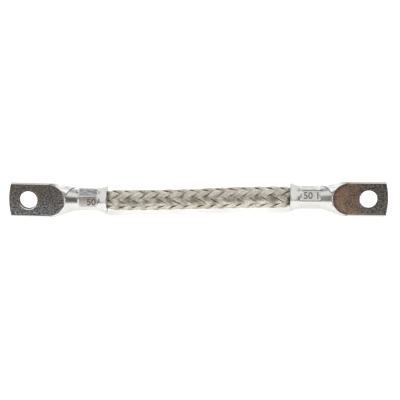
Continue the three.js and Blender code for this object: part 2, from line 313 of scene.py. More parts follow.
@dataclass(frozen=True)
class LugSizes:
    """Sizes of a cable lug, in millimetres, along its axis from the mouth of the barrel."""

    length: float = 57.4
    hole_from_mouth: float = 46.0
    hole_diameter: float = 10.5
    hole_chamfer: float = 0.12
    barrel_diameter: float = 14.0
    wall: float = 1.55
    palm_width: float = 20.6
    edge_bulge: float = 1.05
    tip_radius: float = 40.0
    palm_below_crown: float = 1.0
    flare_diameter: float = 17.2
    flare_length: float = 3.2
    lip: float = 0.9
    ramp_start: float = 18.9
    shoulder: float = 31.0
    back_heel: float = 29.5
    face_arc_centre: float = 34.2
    crease: float = 30.2
    crease_slope: float = 0.035
    tongue_half_angle: float = 26.0
    tongue_drop: float = 0.65
    tongue_step: float = 0.5
    cavity_end: float = 28.5
    crimp_length: float = 12.0
    crimp_flats: float = 12.1
    crimp_shoulder: float = 0.8

    @property
    def barrel_radius(self) -> float:
        """Outer radius of the tube."""
        return self.barrel_diameter / 2

    @property
    def bore_radius(self) -> float:
        """Inner radius of the tube."""
        return self.barrel_radius - self.wall

    @property
    def flare_radius(self) -> float:
        """Outer radius of the flared mouth."""
        return self.flare_diameter / 2

    @property
    def face_half_width(self) -> float:
        """Half the width of the flat of the palm."""
        return self.palm_width / 2 - self.edge_bulge

    @property
    def face_height(self) -> float:
        """Height of the contact face above the barrel's axis."""
        return self.barrel_radius - self.palm_below_crown

    @property
    def tongue_tip(self) -> float:
        """Distance from the mouth to the tip of the tongue that the round barrel ends in."""
        return self.face_arc_centre - self.face_half_width - self.tongue_step

    @property
    def middle_height(self) -> float:
        """Height of the palm's middle above the barrel's axis."""
        return self.face_height - self.wall

    def edge_depth(self, roll: float) -> float:
        """Depth of the palm's lower edge below the axis when the lug is rolled back."""
        flat = self.face_half_width * math.cos(roll) - self.middle_height * math.sin(roll)
        return flat + math.hypot(self.edge_bulge * math.cos(roll), self.wall * math.sin(roll))

    def rest_roll(self) -> float:
        """Roll at which the flared mouth and the palm's edge stand on the same floor.

        Returns:
            The angle in radians.
        """
        low, high = 0.0, math.pi / 3
        while high - low > 1e-6:
            middle = (low + high) / 2
            if self.edge_depth(middle) > self.flare_radius:
                low = middle
            else:
                high = middle
        return low


@dataclass(frozen=True)
class LugPose:
    """Where a lug lies: the matrix from its own coordinates, in metres, to the strap's."""

    side: Side
    matrix: Matrix

    @classmethod
    def at_rest(cls, side: Side, sizes: LugSizes, free_braid: float, twist: float, yaw: float,
                sidestep: float) -> "LugPose":
        """Pose of a lug that stands on its mouth and on the edge of its palm.

        Args:
            side: End of the strap.
            sizes: Sizes of the lug.
            free_braid: Distance between the two mouths.
            twist: Degrees by which the palm stands steeper than it would by itself.
            yaw: Degrees by which the lug is turned on the floor.
            sidestep: Distance by which its mouth lies off the line between the two.

        Returns:
            The pose.
        """
        roll = sizes.rest_roll() - math.radians(twist)
        pitch = math.atan((sizes.edge_depth(roll) - sizes.flare_radius) / sizes.shoulder)
        turns = (math.pi / 2 - roll, -side.value * pitch, math.radians(yaw))
        turned = Euler(turns, "XYZ").to_matrix().to_4x4()
        level = sizes.flare_radius * math.cos(pitch)
        mouth = Vector((side.value * free_braid / 2, sidestep, level)) * MM
        half_turn = Matrix.Rotation(math.pi if side is Side.LEFT else 0.0, 4, "Z")
        return cls(side, Matrix.Translation(mouth) @ turned @ half_turn)

    def moved(self, offset: Vector) -> "LugPose":
        """The same pose, moved by an offset in metres."""
        return LugPose(self.side, Matrix.Translation(offset) @ self.matrix)

    @property
    def mouth(self) -> Vector:
        """Middle of the mouth."""
        return self.matrix.translation.copy()

    @property
    def outward(self) -> Vector:
        """Direction from the mouth to the tip."""
        return (self.matrix.to_3x3() @ Vector((1, 0, 0))).normalized()


@dataclass
class LugShape:
    """The fine skin of one lug, in its own coordinates."""

    sizes: LugSizes
    crimp_start: float
    crimp_turn: float
    columns: int = 144
    ramp_steps: int = 16
    flare_steps: int = 14
    flare_reach: float = 0.2
    flare_bend: float = 1.8
    edge_columns: float = 16.0
    dent: float = 0.035
    dent_scale: float = 0.16
    face_tolerance: float = 0.01
    corner_reach: float = 1.125
    corner_rounding: float = 0.3
    corner_rise: float = 0.1
    crimp_groove: float = 0.03
    crimp_end: float = 0.35
    bead: float = 0.16
    bead_width: float = 0.7
    bead_from: Span = (0.3, 0.7)
    bead_to: Span = (1.9, 1.4)
    front: Span = (-0.25, 0.1)
    ramp_stop: float = 0.985
    crease_half: float = 0.25
    palm_step: float = 1.5
    palm_steps: int = 13
    lip_rounding: float = 0.14
    tip_rings: tuple[Span, ...] = ((0.9, 0.0), (0.18, 0.0), (0.0, 0.13), (0.0, 1.0))
    hole_steps: int = 96
    sharp_angle: float = 28.0

    def _round(self, x: float, radius: float, angle: float) -> Vector:
        """Point of a round ring at an angle from the crown."""
        return Vector((x, radius * math.sin(angle), radius * math.cos(angle)))

    def _hexagon(self, x: float, flats: float, angle: float) -> Vector:
        """Point of a ring round the hexagon that the crimping dies left.

        Args:
            x: Distance from the mouth.
            flats: Distance between opposite flats.
            angle: Angle from the crown.

        Returns:
            The point.
        """
        sector, from_turn = math.pi / 3, angle - math.radians(self.crimp_turn)
        from_flat = from_turn - sector * round(from_turn / sector)
        radius = min(flats / 2 / math.cos(from_flat), flats / 2 * self.corner_reach)
        return self._round(x, radius, angle)

    def palm_section(self, angle: float) -> Vector:
        """Where the flat palm begins.

        Args:
            angle: Angle from the crown of the barrel.

        Returns:
            The point on the contact face, on a folded edge or on the back.
        """
        s = self.sizes
        side = 1 if angle <= math.pi else -1
        column = min(angle, 2 * math.pi - angle) / math.pi * self.columns / 2
        face_columns = (self.columns / 2 - self.edge_columns) / 2
        back = s.face_height - 2 * s.wall
        if column <= face_columns:
            sweep = math.pi / 2 * column / face_columns
            x = s.face_arc_centre - s.face_half_width * math.cos(sweep)
            return Vector((x, side * s.face_half_width * math.sin(sweep), s.face_height))
        if column < face_columns + self.edge_columns:
            fold = math.pi * (column - face_columns) / self.edge_columns
            x = lerp(s.shoulder, s.face_arc_centre, max(0.0, math.cos(fold)) ** 2)
            across = s.face_half_width + s.edge_bulge * math.sin(fold)
            return Vector((x, side * across, s.middle_height + s.wall * math.cos(fold)))
        sweep = math.pi / 2 * (self.columns / 2 - column) / face_columns
        x = lerp(s.shoulder, s.back_heel, math.cos(sweep))
        return Vector((x, side * s.face_half_width * math.sin(sweep), back))

    def barrel_end(self, back: float, rise: float, angle: float) -> Vector:
        """Where the round barrel ends: a tongue runs on to the arc of the contact face.

        Args:
            back: Distance by which the point is set back towards the mouth.
            rise: Height of the bead that the press left there.
            angle: Angle from the crown of the barrel.

        Returns:
            The point.
        """
        s = self.sizes
        from_crown = min(angle, 2 * math.pi - angle)
        quarter = math.pi / 2
        tongue = (quarter - from_crown) / (quarter - math.radians(s.tongue_half_angle))
        bead = rise * ease(from_crown, *self.bead_from) * ease(from_crown, *self.bead_to)
        x = lerp(s.ramp_start, s.tongue_tip, min(1.0, max(0.0, tongue))) - back
        point = self._round(x, s.barrel_radius + bead, angle)
        point.z -= s.tongue_drop * max(0.0, math.cos(angle)) ** 4
        return point

    def _ramp(self, part: float, angle: float) -> Vector:
        """Point on the way from the barrel's end to the palm: straight in front, eased behind.

        Args:
            part: How far along the way, from 0 to 1.
            angle: Angle from the crown.

        Returns:
            The point.
        """
        start, end = self.barrel_end(0.0, self.bead, angle), self.palm_section(angle)
        bend = lerp(ease(part, 0, 1), part, ease(math.cos(angle), *self.front))
        across, up = lerp(start.y, end.y, bend), lerp(start.z, end.z, bend)
        return Vector((lerp(start.x, end.x, part), across, up))

    def _palm(self, x: float, angle: float) -> Vector:
        """Point of a straight ring round the palm, at a distance from the mouth."""
        point = self.palm_section(angle)
        return Vector((max(x, point.x), point.y, point.z))

    def _tip(self, back: float, inset: float, angle: float) -> Vector:
        """Point of a ring along the rounded tip.

        Args:
            back: Distance by which it is set back from the tip.
            inset: How far it is pinched to the palm's middle, from 0 to 1.
            angle: Angle from the crown.

        Returns:
            The point.
        """
        s, point = self.sizes, self.palm_section(angle)
        sagitta = s.tip_radius - math.sqrt(s.tip_radius ** 2 - point.y ** 2)
        return Vector((s.length - sagitta - back, point.y, lerp(point.z, s.middle_height, inset)))

    def _flare(self, inner: bool, part: float, angle: float) -> Vector:
        """Point of a ring of the trumpet.

        Args:
            inner: Whether it is on the inner wall.
            part: How far along, from the lip at 0 to the barrel at 1.
            angle: Angle from the crown.

        Returns:
            The point.
        """
        s = self.sizes
        end = s.bore_radius if inner else s.barrel_radius
        lip = s.flare_radius - s.lip if inner else s.flare_radius
        reach = max(s.flare_length, self.crimp_start - self.flare_reach)
        x = s.lip / 2 + (reach - s.lip / 2) * part
        return self._round(x, lerp(end, lip, (1 - part) ** self.flare_bend), angle)

    def _closed(self, angle: float) -> Vector:
        """The flat end of the cavity."""
        across = (self.sizes.face_half_width - self.sizes.wall) * math.sin(angle)
        return Vector((self.sizes.cavity_end, across, self.sizes.middle_height))

    def stations(self) -> list[Place]:
        """All rings of the skin, from the end of the bore round the lip to the tip.

        Returns:
            The rings in their order.
        """
        s = self.sizes
        start, end = self.crimp_start, self.crimp_start + s.crimp_length
        hexagon_start, hexagon_end = start + s.crimp_shoulder, end - s.crimp_shoulder
        inner = s.crimp_flats - 2 * s.wall
        steps = [k / self.flare_steps for k in range(self.flare_steps + 1)]
        rounding = s.lip * self.lip_rounding
        ramp = [k / self.ramp_steps for k in range(self.ramp_steps)]
        lengthwise = [s.face_arc_centre + self.palm_step * k for k in range(1, self.palm_steps + 1)]
        return [
            self._closed,
            partial(self._round, end, s.bore_radius),
            partial(self._hexagon, hexagon_end, inner),
            partial(self._hexagon, hexagon_start, inner),
            partial(self._round, start, s.bore_radius),
            *[partial(self._flare, True, part) for part in reversed(steps)],
            partial(self._round, rounding, s.flare_radius - s.lip),
            partial(self._round, 0, s.flare_radius - s.lip + rounding),
            partial(self._round, 0, s.flare_radius - rounding),
            partial(self._round, rounding, s.flare_radius),
            *[partial(self._flare, False, part) for part in steps],
            partial(self._round, start, s.barrel_radius - self.crimp_groove),
            partial(self._hexagon, hexagon_start, s.crimp_flats + self.corner_rise),
            partial(self._hexagon, hexagon_start + self.corner_rounding, s.crimp_flats),
            partial(self._hexagon, lerp(start, end, 0.5), s.crimp_flats),
            partial(self._hexagon, hexagon_end - self.corner_rounding, s.crimp_flats),
            partial(self._hexagon, hexagon_end, s.crimp_flats + self.corner_rise),
            partial(self._round, end, s.barrel_radius - self.crimp_groove),
            partial(self._round, end + self.crimp_end, s.barrel_radius),
            partial(self.barrel_end, self.bead_width, 0.0),
            *[partial(self._ramp, part) for part in ramp],
            partial(self._ramp, self.ramp_stop),
            self.palm_section,
            partial(self._palm, s.crease - self.crease_half),
            partial(self._palm, s.crease + self.crease_half),
            *[partial(self._palm, x) for x in lengthwise],
            *[partial(self._tip, back, inset) for back, inset in self.tip_rings],
        ]

    def _relief(self, point: Vector) -> Vector:
        """The slight dents and the bend line that the press left.

        Args:
            point: A point of the smooth skin.

        Returns:
            The point with its relief.
        """
        s = self.sizes
        dent = self.dent * noise.noise(point * self.dent_scale)
        moved = point.copy()
        outward = Vector((0, point.y, point.z))
        on_face = abs(point.z - s.face_height) < self.face_tolerance
        if point.x > s.face_arc_centre - s.face_half_width and on_face:
            moved.z -= s.crease_slope * max(0.0, s.crease - point.x)
        if point.x > s.ramp_start:
            moved.z += dent
        elif outward.length > s.bore_radius + s.wall / 2:
            moved += outward.normalized() * dent
        return moved

    def skin(self) -> bmesh.types.BMesh:
        """The closed skin without its bolt hole.

        Returns:
            The skin as a bmesh, in millimetres.
        """
        rings = self.stations()
        step = 2 * math.pi / self.columns

        def place(ring: int, column: int) -> Vector:
            """Point of a ring at a column."""
            return self._relief(rings[ring](column * step))

        mesh = mapped_tube(len(rings), self.columns, place)
        bmesh.ops.recalc_face_normals(mesh, faces=mesh.faces[:])
        return mesh

    def hole_cutter(self) -> bmesh.types.BMesh:
        """The bolt hole with its chamfers, as a turned solid.

        Returns:
            The solid as a bmesh, in millimetres.
        """
        s = self.sizes
        radius, chamfer = s.hole_diameter / 2, s.hole_chamfer
        wide, deep = radius + 2 * chamfer, s.wall + chamfer
        profile = ((0, -deep), (wide, -deep), (radius, chamfer - s.wall),
                   (radius, s.wall - chamfer), (wide, deep), (0, deep))
        centre = Vector((s.hole_from_mouth, 0, s.middle_height))
        mesh = bmesh.new()
        corners = [mesh.verts.new(centre + Vector((r, 0, h))) for r, h in profile]
        edges = [mesh.edges.new(pair) for pair in zip(corners, corners[1:])]
        bmesh.ops.spin(mesh, geom=corners + edges, cent=centre, axis=(0, 0, 1), dvec=(0, 0, 0),
                       angle=2 * math.pi, steps=self.hole_steps, use_merge=True)
        bmesh.ops.remove_doubles(mesh, verts=mesh.verts[:], dist=10 * MERGE)
        bmesh.ops.recalc_face_normals(mesh, faces=mesh.faces[:])
        return mesh

    def build(self, name: str, pose: LugPose) -> bpy.types.Object:
        """Makes the lug.

        Args:
            name: Name of the piece.
            pose: Where it lies.

        Returns:
            The lug, with its own coordinates kept as the attribute NOTE.
        """
        body = mesh_object(name, self.skin(), ALL_SMOOTH)
        cutter = mesh_object(name + "_cutter", self.hole_cutter(), ALL_SMOOTH)
        cut = body.modifiers.new("bolt_hole", "BOOLEAN")
        cut.operation, cut.solver, cut.object = "DIFFERENCE", "EXACT", cutter
        evaluated = body.evaluated_get(bpy.context.evaluated_depsgraph_get())
        bored = bpy.data.meshes.new_from_object(evaluated)
        body.modifiers.clear()
        body.data = bored
        bpy.data.objects.remove(cutter)
        own = bored.attributes.new(NOTE, "FLOAT_VECTOR", "POINT")
        for vertex in bored.vertices:
            own.data[vertex.index].vector = vertex.co
        bored.transform(pose.matrix @ Matrix.Scale(MM, 4))
        bored.shade_smooth()
        bored.set_sharp_from_angle(angle=math.radians(self.sharp_angle))
        return body


@dataclass(frozen=True)
class Layer:
    """A tone laid over a plate where fields of the point are past their steps.

    A step names the field, its value that gives 0 and its value that gives 1.
    """

    tone: Field | Colour
    amount: float
    steps: tuple[tuple[str, float, float], ...]

    def zone(self, fields: dict[str, Field]) -> Field:
        """How much of the tone there is.

        Args:
            fields: Fields of the point by their names.

        Returns:
            The product of the steps and the amount.
        """
        part = self.amount
        for name, low, high in self.steps:
            part = fields[name].step(low, high) * part
        return part

    def over(self, graph: Graph, fields: dict[str, Field], colour: Field | Colour) -> Field:
        """The colour with this layer on it."""
        return graph.blend(self.zone(fields), colour, self.tone)


@dataclass(frozen=True)
class TinnedTube:
    """Finish of a lug: tin plate with painted highlights and painted dark reflections, and a palm whose
    dull mottle is partly painted reflection.
    """

    sizes: LugSizes = field(default_factory=LugSizes)
    upper_side: float = -1.0
    tin: Colour = (0.75, 0.74, 0.71)
    # The palm's two tones are partly its own dull mottle and partly painted reflection: the dark room
    # that the flat mirrors is painted into them.
    palm_dark: Colour = (0.055, 0.055, 0.058)
    palm_pale: Colour = (0.48, 0.475, 0.475)
    palm_noise: Span = (0.42, 0.63)
    stain: Colour = (0.44, 0.37, 0.30)
    stain_shade: float = 0.45
    stain_amount: float = 0.6
    stain_slope: float = 0.0
    stain_rise: float = 0.03
    stain_before_hole: float = 8.0
    # Painted dark reflection in a band along the face's curved edge round the heel.
    rim: Colour = (0.09, 0.085, 0.085)
    rim_amount: float = 0.0
    # Painted highlight: a pale line along the crease, in the palm's pale tone.
    crease_amount: float = 0.0
    fold: Colour = (0.78, 0.77, 0.74)
    # Painted highlight: the upper side of the ramp and wings past the barrel's end painted near white.
    pressed: Colour = (1.0, 0.99, 0.97)
    # Tone of two painted dark reflections: along the ridge where the barrel ends, and along the crimp's
    # die edge.
    line: Colour = (0.10, 0.10, 0.10)
    line_width: float = 0.45
    line_growth: float = 3.6
    line_grows_from: float = 0.9
    streak_amount: float = 0.7
    streak_shade: float = 0.25
    streak_stretch: Triple = (0.25, 1.0, 1.0)
    cloud_shade: float = 0.86
    # Painted dark reflection along the edge between the crimp's upper and middle flats.
    edge_angle: float = 46.0
    edge_amount: float = 0.0
    # Painted shade: the wall of the bolt hole painted near black.
    bore: Colour = (0.07, 0.068, 0.065)
    # Painted highlight in a crescent on the face just below the bolt hole.
    painted_hole_highlight: Colour = (1.0, 0.98, 0.95)
    painted_hole_highlight_amount: float = 1.0
    copper: Colour = (0.42, 0.16, 0.09)
    roughness: float = 0.2
    fine_roughness: float = 0.1
    palm_roughness: float = 0.14
    bore_roughness: float = 0.5
    relief_height: float = 0.02
    relief_strength: float = 0.25

    def fields(self, graph: Graph) -> dict[str, Field]:
        """Where a point of the lug lies, and the noises there.

        Args:
            graph: Graph of the material.

        Returns:
            Fields by name: lengths in the lug's own millimetres, angles in radians, and noises.
        """
        s, quarter = self.sizes, math.pi / 2
        place = graph.attribute(NOTE, "Vector")
        along, across, height = (graph.axis(place, k) for k in range(3))
        upward = across * self.upper_side
        from_crown = abs(across).angle_to(height)
        slope = (s.tongue_tip - s.ramp_start) / (quarter - math.radians(s.tongue_half_angle))
        line = (s.ramp_start + (quarter - from_crown).most(0.0) * slope).least(s.tongue_tip)
        line_growth = (from_crown - self.line_grows_from).most(0.0) ** 2 * self.line_growth
        before_arc = (along - s.face_arc_centre).least(0.0)
        tip = s.length - s.tip_radius + (s.tip_radius ** 2 - across ** 2) ** 0.5
        fine = graph.grain(place, 1.0, 5.0, 0.72)
        clouds = graph.grain(place, 0.16, 3.0)
        before_hole = s.hole_from_mouth - self.stain_before_hole - along
        return {
            "along": along,
            "aside": abs(across),
            "upward": upward,
            "downward": upward * -1.0,
            "height": height,
            "from_crown": from_crown,
            "off_die_edge": abs(from_crown - math.radians(self.edge_angle)),
            "past_line": along - line,
            "line_part": (line - along) / (line_growth + self.line_width),
            "before_arc": before_arc,
            "reach": (before_arc ** 2 + across ** 2) ** 0.5,
            "crease_squared": (along - s.crease) ** 2,
            "from_hole": ((along - s.hole_from_mouth) ** 2 + across ** 2) ** 0.5,
            "past_tip": along - tip,
            "fine": fine,
            "mixed": fine * 0.6 + graph.grain(place, 1.7, 2.0) * 0.4,
            "clouds": clouds,
            "patches": clouds + before_hole * self.stain_slope + upward * self.stain_rise,
            "streaks": graph.grain(graph.stretch(place, self.streak_stretch), 1.0, 3.0),
        }

    def tube_layers(self) -> list[Layer]:
        """Layers of the tube and of the palm's folded edges.

        Returns:
            Dull clouds, darker streaks on the upper side, a painted dark reflection along the crimp's die
            edge, a painted highlight on the ramp's upper side, folds and a painted dark reflection along
            the barrel's end.
        """
        s, tongue = self.sizes, math.radians(self.sizes.tongue_half_angle)
        # Darker streaks along the crimp, on its upper side only.
        streak_steps = (("streaks", 0.45, 0.62), ("along", 4.5, 6.0), ("along", 18.5, 17.5),
                        ("upward", 2.0, 4.0))
        # Painted dark reflection along the die edge, upper side only.
        edge_steps = (("off_die_edge", 0.1, 0.03), ("along", 6.0, 7.5), ("along", 20.0, 18.5),
                      ("upward", 2.0, 3.0))
        fold_steps = (("along", s.shoulder - 4.0, s.shoulder),
                      ("aside", s.face_half_width - 0.9, s.face_half_width))
        # Painted dark reflection along the ridge where the round barrel ends, on its upper side.
        line_steps = (("past_line", 0.35, 0.1), ("line_part", 1.0, 0.5), ("upward", -0.5, 0.5),
                      ("from_crown", tongue, tongue + 0.2), ("from_crown", 1.9, 1.7))
        return [
            Layer(dimmed(self.tin, self.cloud_shade), 0.35, (("clouds", 0.3, 0.7),)),
            Layer(dimmed(self.tin, self.streak_shade), self.streak_amount, streak_steps),
            Layer(self.line, self.edge_amount, edge_steps),
            # Painted highlight on the upper side of the ramp.
            Layer(self.pressed, 0.9, (("past_line", 0.1, 1.0), ("upward", 0.0, 1.5))),
            Layer(self.fold, 0.8, fold_steps),
            Layer(self.line, 0.85, line_steps),
        ]

    def palm_layers(self, rust: Field) -> list[Layer]:
        """Layers of the contact face.

        Args:
            rust: Colour of its stained patches.

        Returns:
            Stain, a painted dark reflection along the face's edge round the heel and a painted highlight
            along the crease.
        """
        side = self.sizes.face_half_width
        # Painted dark reflection along the face's edge round the heel.
        rim_steps = ("reach", side - 2.4, side - 0.3), ("before_arc", -0.2, -1.5)
        return [
            Layer(rust, self.stain_amount, (("patches", 0.25, 0.75),)),
            Layer(self.rim, self.rim_amount, rim_steps),
            # Painted highlight along the crease.
            Layer(self.palm_pale, self.crease_amount, (("crease_squared", 0.12, 0.01),)),
        ]

    def top_layers(self, palm: Field) -> list[Layer]:
        """Layers over the whole plate.

        Args:
            palm: Colour of the contact face.

        Returns:
            Contact face, a painted highlight below the bolt hole, the bolt hole's wall in painted shade
            and cut tip.
        """
        s, radius = self.sizes, self.sizes.hole_diameter / 2
        face_steps = (("reach", s.face_half_width + 0.25, s.face_half_width - 0.05),
                      ("height", s.face_height - 0.35, s.face_height - 0.12))
        # Painted highlight below the bolt hole.
        painted_hole_highlight_steps = ("from_hole", radius + 0.8, radius + 0.5), ("downward", 2.0, 4.0)
        return [
            Layer(palm, 1.0, face_steps),
            Layer(self.painted_hole_highlight, self.painted_hole_highlight_amount, painted_hole_highlight_steps),
            # Painted shade on the bolt hole's wall.
            Layer(self.bore, 1.0, (("from_hole", radius + 0.1, radius + 0.02),)),
            Layer(self.copper, 0.8, (("past_tip", -0.22, -0.02),)),
        ]

    def material(self, name: str) -> bpy.types.Material:
        """Builds the material.

        Args:
            name: Name of the material.

        Returns:
            The material, which reads the attribute NOTE.
        """
        graph = Graph(bpy.data.materials.new(name))
        fields = self.fields(graph)
        mottle = fields["mixed"].step(*self.palm_noise)
        # Palm colour: its dull mottle, partly painted dark reflection.
        palm = graph.blend(mottle, self.palm_dark, self.palm_pale)
        rust = graph.blend(mottle, dimmed(self.stain, self.stain_shade), self.stain)
        for layer in self.palm_layers(rust):
            palm = layer.over(graph, fields, palm)
        top_layers = self.top_layers(palm)
        colour = self.tin
        for layer in self.tube_layers() + top_layers:
            colour = layer.over(graph, fields, colour)
        on_face, in_hole = top_layers[0].zone(fields), top_layers[2].zone(fields)
        rough = on_face * (self.palm_roughness + mottle * self.fine_roughness)
        rough = rough + self.roughness + fields["fine"] * self.fine_roughness
        rough = rough + in_hole * self.bore_roughness
        relief = graph.bump(fields["mixed"], self.relief_height * MM, self.relief_strength)
        graph.surface(Base_Color=colour, Metallic=1.0, Roughness=rough, Normal=relief)
        return graph.owner


@dataclass
class CrimpMark:
    """The plain size number that the dies pressed into a flat of the crimp."""

    pose: LugPose
    shape: LugShape
    text: str = "50"
    height: float = 4.1
    depth: float = 0.14
    shift: float = 0.0
    font_size: float = 1.35
    bevel: float = 0.05

    def build(self, name: str) -> bpy.types.Object:
        """Makes the raised number on the crimp's flat that looks forward.

        Args:
            name: Name of the piece.

        Returns:
            The number as a mesh.
        """
        curve = bpy.data.curves.new(name, "FONT")
        curve.body, curve.size = self.text, self.height * self.font_size
        curve.align_x, curve.align_y = "CENTER", "CENTER"
        curve.extrude, curve.bevel_depth = self.depth, self.bevel
        letters = bpy.data.objects.new(name + "_curve", curve)
        bpy.context.scene.collection.objects.link(letters)
        bpy.context.view_layer.update()
        data = bpy.data.meshes.new_from_object(letters)
        bpy.data.objects.remove(letters)
        sizes, turn = self.shape.sizes, math.radians(self.shape.crimp_turn)
        middle = self.shape.crimp_start + sizes.crimp_length / 2 + self.shift
        out = Vector((0, math.sin(turn), math.cos(turn)))
        spot = (Vector((middle, 0, 0)) + out * sizes.crimp_flats / 2) * MM
        normal = (self.pose.matrix.to_3x3() @ out).normalized()
        reading = self.pose.outward * self.pose.side.value
        upright = normal.cross(reading)
        turned = Matrix((reading, upright, normal)).transposed().to_4x4()
        data.transform(Matrix.Translation(self.pose.matrix @ spot) @ turned @ Matrix.Scale(MM, 4))
        mark = bpy.data.objects.new(name, data)
        bpy.context.scene.collection.objects.link(mark)
        return mark


@dataclass(frozen=True)
class DarkMark:
    """Finish of a pressed number: dark, with random paler specks."""

    colour: Colour = (0.15, 0.125, 0.115)
    speck_noise: Span = (0.4, 0.6)
    # Share of the paler specks.
    worn_amount: float = 0.5
    speck_brightness: float = 2.0
    roughness: float = 0.45

    def material(self, name: str) -> bpy.types.Material:
        """Builds the material.

        Args:
            name: Name of the material.

        Returns:
            The material.
        """
        graph = Graph(bpy.data.materials.new(name))
        # Random paler specks on the dark number.
        worn = graph.grain(graph.object_place(), 900.0, 2.0).step(*self.speck_noise)
        speck_colour = dimmed(self.colour, self.speck_brightness)
        colour = graph.blend(worn * self.worn_amount, self.colour, speck_colour)
        graph.surface(Base_Color=colour, Metallic=1.0, Roughness=self.roughness)
        return graph.owner


@dataclass
class Braid:
    """The woven tube: carriers laid both ways, each over two and under two of the others."""

    left: LugPose
    right: LugPose
    sizes: LugSizes
    crimp_starts: dict[Side, float]
    free_length: float
    carriers_each_way: int = 8
    lay_length: float = 61.0
    cover: float = 0.96
    thickness: float = 0.75
    clearance: float = 0.2
    diameter_left: float = 12.5
    diameter_right: float = 13.3
    crimp_clearance: float = 0.3
    in_lug: float = 17.2
    neck: float = 5.0
    turn: float = 41.0
    wires: int = 5
    points_a_wire: int = 4
    ridge: float = 0.12
    rounding: float = 0.85
    sink: float = 0.2
    ring_step: float = 0.2
    stray: float = 0.2
    stray_noise: float = 0.16
    width_change: float = 0.25
    width_noise: float = 0.045
    phases: float = 50.0
    underside: tuple[Span, ...] = (
        (0.44, -0.12), (0.25, -0.42), (0.0, -0.5), (-0.25, -0.42), (-0.44, -0.12))

    def spot(self, x: float) -> tuple[Vector, Vector]:
        """Centreline of the braid.

        Args:
            x: Distance along the braid from its middle, in millimetres.

        Returns:
            The point there and the direction ahead.
        """
        along = x + self.free_length / 2
        if along < 0:
            return self.left.mouth - self.left.outward * along * MM, -self.left.outward
        if along > self.free_length:
            past = along - self.free_length
            return self.right.mouth + self.right.outward * past * MM, self.right.outward
        handle = self.free_length / 3 * MM
        a, d = self.left.mouth, self.right.mouth
        b, c = a - self.left.outward * handle, d - self.right.outward * handle
        u = along / self.free_length
        v = 1 - u
        point = a * v ** 3 + b * (3 * v * v * u) + c * (3 * v * u * u) + d * u ** 3
        ahead = (b - a) * v * v + (c - b) * (2 * v * u) + (d - c) * u * u
        return point, ahead.normalized()

    def radius(self, x: float) -> float:
        """Outer radius of the braid, squeezed where it goes into a lug.

        Args:
            x: Distance along the braid from its middle.

        Returns:
            The radius.
        """
        start = self.crimp_starts[Side.LEFT if x < 0 else Side.RIGHT]
        depth = abs(x) - self.free_length / 2
        in_crimp = self.sizes.crimp_flats / 2 - self.sizes.wall - self.crimp_clearance
        swell = ease(x, -self.free_length / 6, self.free_length / 3)
        free = lerp(self.diameter_left, self.diameter_right, swell) / 2
        return lerp(free, in_crimp, ease(depth, -self.neck, start + self.sizes.crimp_shoulder))

    def dip(self, t: float) -> float:
        """How far a strand is at t crossings from its float's middle: 0 there, 1 where it is deepest."""
        return abs((t + 1.5) % 4 - 2) / 2

    def wave(self, t: float) -> float:
        """Height of a strand at t crossings: 1 over for 0 and 1, and -1 under for 2 and 3."""
        return 1 - 2 * ease(self.dip(t), 0, 1)

    def section(self) -> list[tuple[float, float]]:
        """Outline of a strand, with a groove between each two of its wires.

        Returns:
            Points across its width, from -0.5 to 0.5, and up in millimetres.
        """
        count = self.wires * self.points_a_wire
        outline = []
        for k in range(count + 1):
            across = k / count - 0.5
            crown = 1 - self.rounding * (2 * across) ** 2
            groove = abs(math.sin(math.pi * k / self.points_a_wire))
            outline.append((across, self.thickness / 2 * crown - self.ridge * (1 - groove)))
        outline.extend((across, up * self.thickness) for across, up in self.underside)
        return outline

    def strand(self, name: str, lay: Lay, carrier: int, dice: random.Random) -> bpy.types.Object:
        """One carrier of the braid as a ribbon of wires laid side by side.

        Args:
            name: Name of the piece.
            lay: Way round in which it is laid.
            carrier: Number of the carrier, from 0.
            dice: Seeded source of its small irregularities.

        Returns:
            The ribbon, which keeps each wire's tone, its groove and its dip as the attribute NOTE.
        """
        hand, outline = lay.value, self.section()
        pitch = self.lay_length / (2 * self.carriers_each_way)
        angle_step = math.pi / self.carriers_each_way
        end = round((self.free_length / 2 + self.in_lug) / pitch - 0.5) + 0.5
        rings = round(2 * end / self.ring_step)
        wave_height = (self.thickness + self.clearance) / 2 + self.sink
        phase = dice.uniform(0, self.phases)

        def place(ring: int, column: int) -> Vector:
            """Point of the ribbon.

            Args:
                ring: Number of the ring along it.
                column: Number of the point round its outline.

            Returns:
                The point, in metres.
            """
            across, up = outline[column % len(outline)]
            along = ring * self.width_noise
            wider = 1 + self.width_change * noise.noise(Vector((along, phase, 3.3)))
            across *= hand * self.cover * wider
            t = -end + 2 * end * ring / rings + hand * across
            x = (t - hand * across) * pitch
            stray = self.stray * noise.noise(Vector((phase, x * self.stray_noise, 0)))
            angle = (2 * carrier + across + stray + hand * t) * angle_step + math.radians(self.turn)
            middle = self.radius(x) - wave_height - self.thickness / 2
            radius = middle + hand * wave_height * self.wave(2 * carrier + hand * t) + up
            point, ahead = self.spot(x)
            sideways = Vector((0, 0, 1)).cross(ahead).normalized()
            upward = ahead.cross(sideways)
            return point + (upward * math.cos(angle) + sideways * math.sin(angle)) * radius * MM

        tones = [dice.random() for _ in range(self.wires + 1)]
        top = self.wires * self.points_a_wire

        def note(ring: int, column: int) -> Vector:
            """What the finish reads at a point of the ribbon.

            Args:
                ring: Number of the ring along it.
                column: Number of the point round its outline.

            Returns:
                The wire's tone, how deep in a groove the point is, and how deep the ribbon dips.
            """
            on_top = column <= top
            wire = min(column // self.points_a_wire, self.wires - 1) if on_top else self.wires
            groove = 1 - abs(math.sin(math.pi * column / self.points_a_wire)) if on_top else 1.0
            t = -end + 2 * end * ring / rings
            return Vector((tones[wire], groove, self.dip(2 * carrier + hand * t)))

        mesh = mapped_tube(rings + 1, len(outline), lambda r, c: place(r, c) / MM, note)
        close_ends(mesh)
        bmesh.ops.transform(mesh, matrix=Matrix.Scale(MM, 4), verts=mesh.verts[:])
        return mesh_object(name, mesh, ALL_SMOOTH)


